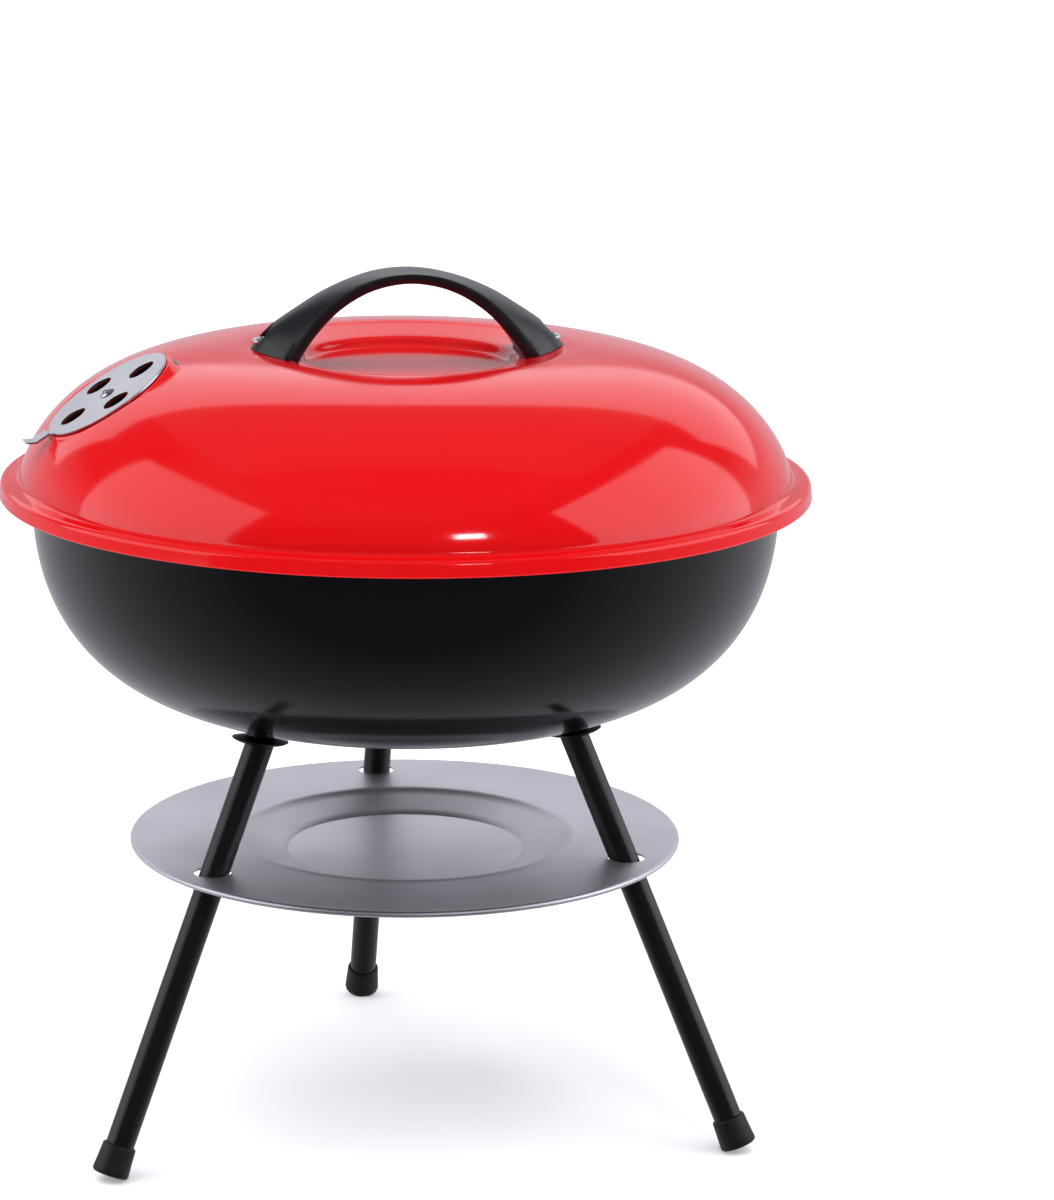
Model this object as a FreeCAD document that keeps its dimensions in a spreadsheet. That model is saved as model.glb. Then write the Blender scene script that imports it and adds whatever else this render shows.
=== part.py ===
import FreeCAD
import Part
import math
import os
import Sketcher

# Kettle charcoal grill. Frame: +Z up, origin on the floor under the centre of
# the bowl, +X to the right of the front view. All lengths are millimetres.

os.makedirs("parts", exist_ok=True)
doc = FreeCAD.newDocument("kettle_grill")
sheet = doc.addObject("Spreadsheet::Sheet", "Sizes")

SIZES = {
    # sheet metal of the bowl and the lid
    "wall": 1.2,
    # bowl, outside surface
    "bowl_floor": 189.0,
    "bowl_flat": 40.0,
    "bowl_low_radius": 82.6,
    "bowl_low_height": 192.9,
    "bowl_mid_radius": 125.4,
    "bowl_mid_height": 207.5,
    "bowl_side_radius": 151.3,
    "bowl_side_height": 231.7,
    "bowl_radius": 166.5,
    "bowl_neck": 283.4,
    "bowl_flange": 294.4,
    "rim_radius": 176.2,
    "bead_radius": 2.2,
    # lid, outside surface
    "lid_radius": 181.2,
    "lid_lip": 290.8,
    "lid_flange": 297.2,
    "dome_radius": 171.9,
    "dome_side_radius": 163.4,
    "dome_side_height": 317.9,
    "dome_mid_radius": 144.2,
    "dome_mid_height": 337.0,
    "dome_high_radius": 110.7,
    "dome_high_height": 351.0,
    "recess_radius": 71.3,
    "recess_edge": 355.0,
    "recess_disc": 44.5,
    "recess_floor": 346.8,
    # handle
    "handle_edge": 4.5,
    "handle_end_edge": 6.4,
    "handle_mid_half": 12.0,
    "handle_end_half": 21.0,
    "handle_end_crown": 13.5,
    "handle_gap": 0.3,
    "handle_turn": 7.0,
    "screw_reach": 64.5,
    "screw_radius": 2.5,
    "screw_head": 4.6,
    "screw_seat": 357.6,
    # lid damper, on a flat seat of the dome
    "damper_reach": 136.5,
    "damper_height": 341.0,
    "damper_slope": 32.5,
    "damper_bearing": 195.5,
    "seat_depth": 3.0,
    "seat_radius": 32.0,
    "damper_radius": 29.8,
    "damper_sheet": 1.0,
    "damper_lift": 0.4,
    "vent_radius": 6.2,
    "vent_pitch": 18.0,
    "rivet_radius": 2.4,
    "tab_width": 9.5,
    "tab_length": 12.5,
    "tab_step": 1.1,
    # bowl damper, under the bowl floor
    "bowl_vent_pitch": 17.0,
    "bowl_damper_radius": 28.0,
    # legs
    "leg_reach": 80.1,
    "leg_top": 192.4,
    "leg_splay": 24.1,
    "bowl_slope": 8.5,
    "leg_length": 199.45,
    "tube_radius": 6.35,
    "tube_wall": 1.1,
    "collar_radius": 12.6,
    "collar_height": 7.0,
    "collar_neck": 6.6,
    "bolt_radius": 3.0,
    "cap_length": 14.0,
    "cap_top": 7.5,
    "cap_foot": 8.2,
    # ash tray
    "tray_height": 130.8,
    "tray_radius": 123.6,
    "tray_disc": 54.5,
    "tray_slope": 76.5,
    "tray_drop": 7.5,
    "tray_sheet": 1.0,
    "tray_hem": 1.3,
    "tray_hole": 8.5,
    "tray_hole_reach": 106.9,
    # grates
    "grate_radius": 161.0,
    "grate_height": 280.0,
    "grate_ring": 2.5,
    "grate_wire": 1.6,
    "grate_pitch": 20.0,
    "coal_radius": 121.0,
    "coal_height": 216.5,
    "coal_ring": 2.5,
    "coal_wire": 2.0,
    "coal_pitch": 25.0,
}
for row, (alias, value) in enumerate(SIZES.items(), start=1):
    sheet.set(f"A{row}", alias)
    sheet.set(f"B{row}", str(value))
    sheet.setAlias(f"B{row}", alias)
doc.recompute()


class Size:
    """A length that knows its number and the sheet expression behind it."""

    def __init__(self, number, text):
        self.number = number
        self.text = text

    def join(self, other, sign, number):
        return Size(number, f"({self.text} {sign} {as_size(other).text})")

    def __add__(self, other):
        return self.join(other, "+", self.number + as_size(other).number)

    def __sub__(self, other):
        return self.join(other, "-", self.number - as_size(other).number)

    def __mul__(self, other):
        return self.join(other, "*", self.number * as_size(other).number)


def as_size(value):
    if isinstance(value, Size):
        return value
    return Size(value, f"{value:.6f}")


def size(alias):
    return Size(float(sheet.get(alias)), f"Sizes.{alias}")


def new_body(label):
    body = doc.addObject("PartDesign::Body", label)
    body.Label = label
    return body


def new_sketch(body, name, role, offset=None):
    sketch = body.newObject("Sketcher::SketchObject", name)
    planes = [item for item in body.Origin.OriginFeatures if item.Role == role]
    sketch.AttachmentSupport = [(planes[0], "")]
    sketch.MapMode = "FlatFace"
    if offset is not None:
        sketch.AttachmentOffset = offset
    return sketch


def hold(sketch, kind, geometry, point, value):
    """Keeps one coordinate of a point on its sheet value, or on the axis at zero."""
    if abs(value.number) < 1e-9:
        axis = -2 if kind == "DistanceX" else -1
        sketch.addConstraint(Sketcher.Constraint("PointOnObject", geometry, point, axis))
        return
    index = sketch.addConstraint(Sketcher.Constraint(kind, -1, 1, geometry, point, value.number))
    sketch.setExpression(f"Constraints[{index}]", value.text)


def crown_radius(half, rise):
    """Radius of a round head of that half width and height."""
    return as_size((half * half + rise * rise) / (2 * rise))


def arc_centre(start, end, radius, turn):
    """Centre of the short arc from start to end; turn is 1 leftwards, -1 rightwards."""
    along = end - start
    half = along.Length / 2
    side = FreeCAD.Vector(-along.y, along.x, 0).normalize()
    return (start + end) / 2 + side * turn * math.sqrt(radius * radius - half * half)


def point_of(node):
    return FreeCAD.Vector(as_size(node[0]).number, as_size(node[1]).number, 0)


def trace(sketch, nodes):
    """Closed outline. A node is (x, y), or (x, y, radius, turn) if an arc follows it."""
    first = sketch.GeometryCount
    ends = []
    for index, node in enumerate(nodes):
        start = point_of(node)
        end = point_of(nodes[(index + 1) % len(nodes)])
        if len(node) == 2:
            sketch.addGeometry(Part.LineSegment(start, end))
            ends.append((1, 2))
            continue
        radius, turn = node[2].number, node[3]
        centre = arc_centre(start, end, radius, turn)
        a = math.atan2(start.y - centre.y, start.x - centre.x)
        b = math.atan2(end.y - centre.y, end.x - centre.x)
        if turn < 0:
            a, b = b, a
        circle = Part.Circle(centre, FreeCAD.Vector(0, 0, 1), radius)
        sketch.addGeometry(Part.ArcOfCircle(circle, a, b))
        ends.append((1, 2) if turn > 0 else (2, 1))
    for index, node in enumerate(nodes):
        geometry = first + index
        following = (index + 1) % len(nodes)
        sketch.addConstraint(Sketcher.Constraint(
            "Coincident", geometry, ends[index][1], first + following, ends[following][0]))
        hold(sketch, "DistanceX", geometry, ends[index][0], as_size(node[0]))
        hold(sketch, "DistanceY", geometry, ends[index][0], as_size(node[1]))
        if len(node) > 2:
            bound = sketch.addConstraint(Sketcher.Constraint("Radius", geometry, node[2].number))
            sketch.setExpression(f"Constraints[{bound}]", node[2].text)


def ring(sketch, x, y, radius):
    x, y, radius = as_size(x), as_size(y), as_size(radius)
    centre = FreeCAD.Vector(x.number, y.number, 0)
    geometry = sketch.addGeometry(Part.Circle(centre, FreeCAD.Vector(0, 0, 1), radius.number))
    hold(sketch, "DistanceX", geometry, 3, x)
    hold(sketch, "DistanceY", geometry, 3, y)
    bound = sketch.addConstraint(Sketcher.Constraint("Radius", geometry, radius.number))
    sketch.setExpression(f"Constraints[{bound}]", radius.text)


def directions(nodes):
    """Unit directions at the start and the end of each piece of an open outline."""
    result = []
    for node, following in zip(nodes, nodes[1:]):
        start, end = point_of(node), point_of(following)
        along = (end - start).normalize()
        bend = 0.0
        if len(node) > 2:
            bend = node[3] * math.asin((end - start).Length / 2 / node[2].number)
        result.append((turned(along, -bend), turned(along, bend)))
    return result


def turned(vector, angle):
    cos, sin = math.cos(angle), math.sin(angle)
    return FreeCAD.Vector(vector.x * cos - vector.y * sin, vector.x * sin + vector.y * cos, 0)


def sheet_outline(nodes, thickness):
    """Closed outline of sheet metal, the given side and one to its left."""
    ways = directions(nodes)
    near = []
    for index, node in enumerate(nodes):
        before = ways[max(index - 1, 0)][1 if index > 0 else 0]
        after = ways[min(index, len(ways) - 1)][0 if index < len(ways) else 1]
        middle = (before + after).normalize()
        reach = 1 / max(middle.dot(before), 0.5)
        if as_size(node[0]).number == 0:
            middle = FreeCAD.Vector(math.copysign(1, before.x), 0, 0)
            reach = 1
        x = as_size(node[0]) - thickness * (middle.y * reach) if abs(middle.y) > 1e-9 else node[0]
        near.append((x, as_size(node[1]) + thickness * (middle.x * reach)))
    back = []
    for index in range(len(nodes) - 1, 0, -1):
        node = nodes[index - 1]
        if len(node) > 2:
            radius = node[2] - thickness * node[3]
            back.append((near[index][0], near[index][1], radius, -node[3]))
        else:
            back.append(near[index])
    back.append(near[0])
    return nodes[:-1] + [(nodes[-1][0], nodes[-1][1])] + back


def revolve(body, sketch, name):
    feature = body.newObject("PartDesign::Revolution", name)
    feature.Profile = sketch
    feature.ReferenceAxis = (sketch, ["V_Axis"])
    feature.Angle = 360
    return feature


def groove(body, sketch, name):
    feature = body.newObject("PartDesign::Groove", name)
    feature.Profile = sketch
    feature.ReferenceAxis = (sketch, ["V_Axis"])
    feature.Angle = 360
    return feature


def pad(body, sketch, name, length, midplane=False, reversed_way=False):
    feature = body.newObject("PartDesign::Pad", name)
    feature.Profile = sketch
    length = as_size(length)
    feature.Length = length.number
    feature.setExpression("Length", length.text)
    feature.Midplane = midplane
    feature.Reversed = reversed_way
    return feature


def pocket(body, sketch, name, length, midplane=False, reversed_way=False):
    """Cuts, and makes sure that the cut took something away."""
    doc.recompute()
    before = body.Shape.Volume
    feature = body.newObject("PartDesign::Pocket", name)
    feature.Profile = sketch
    length = as_size(length)
    feature.Length = length.number
    feature.setExpression("Length", length.text)
    feature.Midplane = midplane
    feature.Reversed = reversed_way
    doc.recompute()
    if body.Shape.Volume > before - 1e-3:
        raise RuntimeError(f"{name} cut nothing")
    return feature


def place(body, x=0, y=0, z=0, rotation=None):
    body.Placement = FreeCAD.Placement(FreeCAD.Vector(x, y, z), rotation or FreeCAD.Rotation())


def tilt(axis, angle):
    return FreeCAD.Rotation(FreeCAD.Vector(*axis), angle)


wall = size("wall")
ZERO = 0

# ---------------------------------------------------------------- bowl
bowl_outside = [
    (ZERO, size("bowl_floor")),
    (size("bowl_flat"), size("bowl_floor"), as_size(300.0), 1),
    (size("bowl_low_radius"), size("bowl_low_height"), as_size(135.0), 1),
    (size("bowl_mid_radius"), size("bowl_mid_height"), as_size(73.0), 1),
    (size("bowl_side_radius"), size("bowl_side_height"), as_size(97.8), 1),
    (size("bowl_radius"), size("bowl_neck")),
    (size("bowl_radius") + 0.1, size("bowl_flange") - 3.0, as_size(3.0), -1),
    (size("bowl_radius") + 3.1, size("bowl_flange")),
    (size("rim_radius"), size("bowl_flange")),
]
bowl_shell = new_body("bowl_shell")
profile = new_sketch(bowl_shell, "bowl_profile", "XZ_Plane")
trace(profile, sheet_outline(bowl_outside, wall))
revolve(bowl_shell, profile, "bowl_turn")
profile = new_sketch(bowl_shell, "bead_profile", "XZ_Plane")
bead = size("bead_radius")
ring(profile, size("rim_radius"), size("bowl_flange") + wall - bead, bead)
revolve(bowl_shell, profile, "rolled_bead")
holes = new_sketch(bowl_shell, "bowl_holes", "XY_Plane")
ring(holes, ZERO, ZERO, size("rivet_radius"))
BOWL_VENTS = (30.0, 150.0, 270.0)
for bearing in BOWL_VENTS:
    cos, sin = math.cos(math.radians(bearing)), math.sin(math.radians(bearing))
    ring(holes, size("bowl_vent_pitch") * cos, size("bowl_vent_pitch") * sin, size("vent_radius"))
pocket(bowl_shell, holes, "bowl_vents", size("bowl_floor") + 20.0, reversed_way=True)

LEGS = {"left": 217.5, "right": 337.5, "rear": 97.5}
for name, bearing in LEGS.items():
    angle = math.radians(bearing)
    spot = FreeCAD.Placement(
        FreeCAD.Vector(
            size("leg_reach").number * math.cos(angle),
            size("leg_reach").number * math.sin(angle), 170.0),
        tilt((0, 0, 1), bearing))
    hole = new_sketch(bowl_shell, f"{name}_bolt_hole", "XY_Plane", spot)
    ring(hole, ZERO, ZERO, size("bolt_radius") + 0.9)
    pocket(bowl_shell, hole, f"{name}_bolt_way", 50.0, reversed_way=True)


def bracket(label, bearing, outline):
    """A bent steel tab welded inside the bowl: a shelf and a strip along the wall."""
    body = new_body(label)
    side = new_sketch(body, "tab_side", "XZ_Plane")
    trace(side, outline)
    pad(body, side, "tab", 14.0, midplane=True)
    place(body, rotation=tilt((0, 0, 1), bearing))


upper_shelf = size("grate_height") - size("grate_ring") - 0.3
upper_wall = size("bowl_radius") - wall - 0.3
upper_tab = [
    (upper_wall - 9.0, upper_shelf - 1.6), (upper_wall - 1.9, upper_shelf - 1.6),
    (upper_wall - 2.5, upper_shelf - 7.0), (upper_wall - 0.9, upper_shelf - 7.0),
    (upper_wall - 0.1, upper_shelf), (upper_wall - 9.0, upper_shelf)]
lower_shelf = size("coal_height") - size("coal_ring") - 0.3
lower_wall = size("bowl_mid_radius") + 5.0
lower_tab = [
    (lower_wall - 18.0, lower_shelf - 1.6), (lower_wall, lower_shelf - 1.6),
    (lower_wall + 6.9, lower_shelf + 3.8), (lower_wall + 5.8, lower_shelf + 5.0),
    (lower_wall - 0.6, lower_shelf), (lower_wall - 18.0, lower_shelf)]
for name, bearing in LEGS.items():
    bracket(f"{name}_upper_bracket", bearing - 60, upper_tab)
    bracket(f"{name}_lower_bracket", bearing - 60, lower_tab)

# ---------------------------------------------------------------- lid
lid_outside = [
    (size("lid_radius"), size("lid_lip")),
    (size("lid_radius") - 0.5, size("lid_flange") - 2.0, as_size(2.0), 1),
    (size("lid_radius") - 2.5, size("lid_flange")),
    (size("dome_radius") + 2.2, size("lid_flange"), as_size(2.6), -1),
    (size("dome_radius"), size("lid_flange") + 2.0, as_size(68.5), 1),
    (size("dome_side_radius"), size("dome_side_height"), as_size(64.0), 1),
    (size("dome_mid_radius"), size("dome_mid_height"), as_size(105.0), 1),
    (size("dome_high_radius"), size("dome_high_height"), as_size(170.0), 1),
    (size("recess_radius"), size("recess_edge"), as_size(9.0), 1),
    (size("recess_radius") - 3.0, size("recess_edge") - 0.4),
    (size("recess_disc") + 5.5, size("recess_floor") + 4.1, as_size(5.0), 1),
    (size("recess_disc") + 3.0, size("recess_floor") + 2.0, as_size(4.0), -1),
    (size("recess_disc"), size("recess_floor")),
    (ZERO, size("recess_floor")),
]
lid_shell = new_body("lid_shell")
profile = new_sketch(lid_shell, "lid_profile", "XZ_Plane")
trace(profile, sheet_outline(lid_outside, wall))
revolve(lid_shell, profile, "lid_turn")

damper_bearing = math.radians(size("damper_bearing").number)
damper_turn = tilt((0, 0, 1), size("damper_bearing").number)
damper_turn = damper_turn * tilt((0, 1, 0), size("damper_slope").number)
damper_axis = damper_turn.multVec(FreeCAD.Vector(0, 0, 1))
damper_spot = FreeCAD.Vector(
    size("damper_reach").number * math.cos(damper_bearing),
    size("damper_reach").number * math.sin(damper_bearing),
    size("damper_height").number)
seat_spot = damper_spot - damper_axis * size("seat_depth").number
seat_place = FreeCAD.Placement(seat_spot, damper_turn)
seat = new_sketch(lid_shell, "damper_seat", "XY_Plane", seat_place)
ring(seat, ZERO, ZERO, size("seat_radius"))
pad(lid_shell, seat, "seat_plate", 2.6, reversed_way=True)
seat = new_sketch(lid_shell, "seat_face", "XY_Plane", seat_place)
ring(seat, ZERO, ZERO, size("seat_radius"))
pocket(lid_shell, seat, "seat_flat", 6.0, reversed_way=True)
seat = new_sketch(lid_shell, "seat_holes", "XY_Plane", seat_place)
ring(seat, ZERO, ZERO, size("rivet_radius"))
for bearing in (0, 90, 180, 270):
    cos, sin = math.cos(math.radians(bearing)), math.sin(math.radians(bearing))
    ring(seat, size("vent_pitch") * round(cos), size("vent_pitch") * round(sin), size("vent_radius"))
pocket(lid_shell, seat, "seat_vents", 9.0)
handle_turn = tilt((0, 0, 1), size("handle_turn").number)
screw_spots = {}
for name, way in (("left", -1), ("right", 1)):
    screw_spots[name] = handle_turn.multVec(FreeCAD.Vector(way, 0, 0))
screws = new_sketch(lid_shell, "screw_holes", "XY_Plane")
for side in screw_spots.values():
    ring(screws, size("screw_reach") * side.x, size("screw_reach") * side.y, size("screw_radius"))
pocket(lid_shell, screws, "screw_ways", 400.0, reversed_way=True)

# lid handle: an arched strap, D-shaped in section, wider and rounder at its ends
lid_handle = new_body("lid_handle")
HANDLE_ARCH = [
    # inner face: along X, height, lean of the section in degrees, share of the way out
    (0.0, 384.4, 0.0, 0.0), (12.0, 382.9, 14.0, 0.12), (22.6, 379.0, 27.0, 0.27),
    (32.4, 372.7, 38.0, 0.44), (40.4, 365.0, 48.0, 0.62), (46.8, 357.0, 55.0, 0.82),
    (53.0, 346.0, 60.0, 1.0),
]
stations = [(-x, z, -lean, share) for x, z, lean, share in HANDLE_ARCH[:0:-1]] + HANDLE_ARCH
sections = []
for index, (x, z, lean, share) in enumerate(stations):
    across = FreeCAD.Rotation(
        FreeCAD.Vector(0, 1, 0), FreeCAD.Vector(0, 0, 1), FreeCAD.Vector(1, 0, 0), "XYZ")
    spot = FreeCAD.Placement(FreeCAD.Vector(x, 0, z), tilt((0, 1, 0), lean) * across)
    section = new_sketch(lid_handle, f"section_{index}", "XY_Plane", spot)
    widen = size("handle_end_half") - size("handle_mid_half")
    half = size("handle_mid_half") + widen * (share ** 1.3)
    crown = 0.5 + (size("handle_end_crown").number - 0.5) * share ** 1.6
    bulge = as_size((half.number ** 2 + crown ** 2) / (2 * crown))
    edge = size("handle_edge") + (size("handle_end_edge") - size("handle_edge")) * share
    trace(section, [
        (half * -1.0, ZERO), (half, ZERO), (half, edge, bulge, 1), (half * -1.0, edge)])
    sections.append(section)
arch = lid_handle.newObject("PartDesign::AdditiveLoft", "arch")
arch.Profile = sections[0]
arch.Sections = sections[1:]
arch.Ruled = False
doc.recompute()
foot = new_sketch(lid_handle, "foot_cut", "XZ_Plane")
gap = size("handle_gap")
trace(foot, [
    (size("recess_disc") - 6.0, as_size(330.0)),
    (size("recess_radius") + 9.0, as_size(330.0)),
    (size("recess_radius") + 9.0, size("recess_edge") + gap + 1.0),
    (size("recess_radius") - 3.0, size("recess_edge") - 0.4 + gap),
    (size("recess_disc") + 5.5, size("recess_floor") + 4.1 + gap),
    (size("recess_disc") - 6.0, size("recess_floor") + 3.0)])
groove(lid_handle, foot, "foot_seat")
doc.recompute()
well = new_sketch(lid_handle, "screw_wells", "XY_Plane")
for way in (1, -1):
    ring(well, size("screw_reach") * way, ZERO, size("screw_radius"))
pocket(lid_handle, well, "screw_bores", 400.0, reversed_way=True)
well_place = FreeCAD.Placement(FreeCAD.Vector(0, 0, size("screw_seat").number), FreeCAD.Rotation())
well = new_sketch(lid_handle, "head_wells", "XY_Plane", well_place)
for way in (1, -1):
    ring(well, size("screw_reach") * way, ZERO, size("screw_head") + 0.5)
pocket(lid_handle, well, "head_seats", 30.0, reversed_way=True)
lid_handle.Placement = FreeCAD.Placement(FreeCAD.Vector(0, 0, 0), handle_turn)

for name, side in screw_spots.items():
    stand = side * size("screw_reach").number
    screw = new_body(f"{name}_handle_screw")
    profile = new_sketch(screw, "screw_profile", "XZ_Plane")
    shank = size("screw_radius") - 0.2
    head = size("screw_head")
    trace(profile, [
        (ZERO, as_size(-11.5)), (shank - 0.5, as_size(-11.5)), (shank, as_size(-11.0)),
        (shank, ZERO), (head, ZERO), (head, as_size(1.4), crown_radius(head.number, 1.2), 1),
        (ZERO, as_size(2.6))])
    revolve(screw, profile, "screw_turn")
    cross = new_sketch(screw, "cross_slots", "XY_Plane", FreeCAD.Placement(
        FreeCAD.Vector(0, 0, 1.3), FreeCAD.Rotation()))
    trace(cross, [
        (as_size(-2.6), as_size(-0.5)), (as_size(-0.5), as_size(-0.5)),
        (as_size(-0.5), as_size(-2.6)), (as_size(0.5), as_size(-2.6)),
        (as_size(0.5), as_size(-0.5)), (as_size(2.6), as_size(-0.5)),
        (as_size(2.6), as_size(0.5)), (as_size(0.5), as_size(0.5)),
        (as_size(0.5), as_size(2.6)), (as_size(-0.5), as_size(2.6)),
        (as_size(-0.5), as_size(0.5)), (as_size(-2.6), as_size(0.5))])
    pocket(screw, cross, "cross", 3.0, reversed_way=True)
    place(screw, stand.x, stand.y, size("screw_seat").number)
    nut = new_body(f"{name}_handle_nut")
    plan = new_sketch(nut, "nut_plan", "XY_Plane")
    corners = []
    for corner in range(6):
        angle = math.radians(60 * corner + 30)
        corners.append((as_size(4.6 * math.cos(angle)), as_size(4.6 * math.sin(angle))))
    trace(plan, corners)
    pad(nut, plan, "nut_block", 3.6)
    bore = new_sketch(nut, "nut_bore", "XY_Plane")
    ring(bore, ZERO, ZERO, size("screw_radius") - 0.2)
    pocket(nut, bore, "nut_way", 3.6, reversed_way=True)
    place(nut, stand.x, stand.y, size("screw_seat").number - 9.8)

# ---------------------------------------------------------------- dampers


def damper(label, radius, pitch, bearings, tab_bearing):
    """Turning disc with round holes and a raised tab whose tip is bent up."""
    body = new_body(label)
    plan = new_sketch(body, "disc_plan", "XY_Plane")
    ring(plan, ZERO, ZERO, radius)
    pad(body, plan, "disc", size("damper_sheet"))
    side = new_sketch(body, "tab_side", "XZ_Plane")
    tab, sheet_metal = size("tab_length"), size("damper_sheet")
    # the tab steps up to pass over the lid as the disc turns
    step = size("tab_step")
    trace(side, [
        (radius - 4.0, ZERO), (radius + 0.4, ZERO), (radius + 1.6, step),
        (radius + tab - 4.0, step), (radius + tab, step + 2.2),
        (radius + tab - 0.5, step + sheet_metal + 2.1), (radius + tab - 4.4, step + sheet_metal),
        (radius + 1.2, step + sheet_metal), (radius, sheet_metal), (radius - 4.0, sheet_metal)])
    pad(body, side, "tab", size("tab_width"), midplane=True)
    holes = new_sketch(body, "disc_holes", "XY_Plane")
    ring(holes, ZERO, ZERO, size("rivet_radius") + 0.1)
    for bearing in bearings:
        cos, sin = math.cos(math.radians(bearing)), math.sin(math.radians(bearing))
        ring(holes, pitch * round(cos, 9), pitch * round(sin, 9), size("vent_radius"))
    pocket(body, holes, "disc_vents", 4.0, midplane=True)
    return body


def rivet(label, grip):
    """Rivet with a round head on top and a flat head below its grip."""
    body = new_body(label)
    profile = new_sketch(body, "rivet_profile", "XZ_Plane")
    shank = size("rivet_radius") - 0.05
    trace(profile, [
        (ZERO, as_size(-1.2) - grip), (shank + 1.6, as_size(-1.2) - grip),
        (shank + 1.6, as_size(0.0) - grip), (shank, as_size(0.0) - grip),
        (shank, as_size(0.05)),
        (shank + 1.7, as_size(0.05), crown_radius(shank.number + 1.7, 1.85), 1),
        (ZERO, as_size(1.9))])
    revolve(body, profile, "rivet_turn")
    return body


lid_damper = damper("lid_damper", size("damper_radius"), size("vent_pitch"), (0, 90, 180, 270), 0)
disc_spot = seat_spot + damper_axis * size("damper_lift").number
lid_damper.Placement = FreeCAD.Placement(disc_spot, damper_turn)
lid_rivet = rivet("lid_damper_rivet", as_size(2.65) + size("damper_lift") + size("damper_sheet"))
rivet_spot = disc_spot + damper_axis * (size("damper_sheet").number + 0.05)
lid_rivet.Placement = FreeCAD.Placement(rivet_spot, damper_turn)

under = tilt((1, 0, 0), 180)
# it hangs upside down, so its hole bearings are mirrored
bowl_damper = damper(
    "bowl_damper", size("bowl_damper_radius"), size("bowl_vent_pitch"),
    [-bearing for bearing in BOWL_VENTS], 0)
bowl_drop = size("bowl_floor").number - size("damper_lift").number
bowl_damper.Placement = FreeCAD.Placement(FreeCAD.Vector(0, 0, bowl_drop), under)
bowl_rivet = rivet("bowl_damper_rivet", wall + size("damper_lift") + size("damper_sheet") + 0.1)
bowl_rivet_drop = bowl_drop - size("damper_sheet").number - 0.05
bowl_rivet.Placement = FreeCAD.Placement(FreeCAD.Vector(0, 0, bowl_rivet_drop), under)

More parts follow.
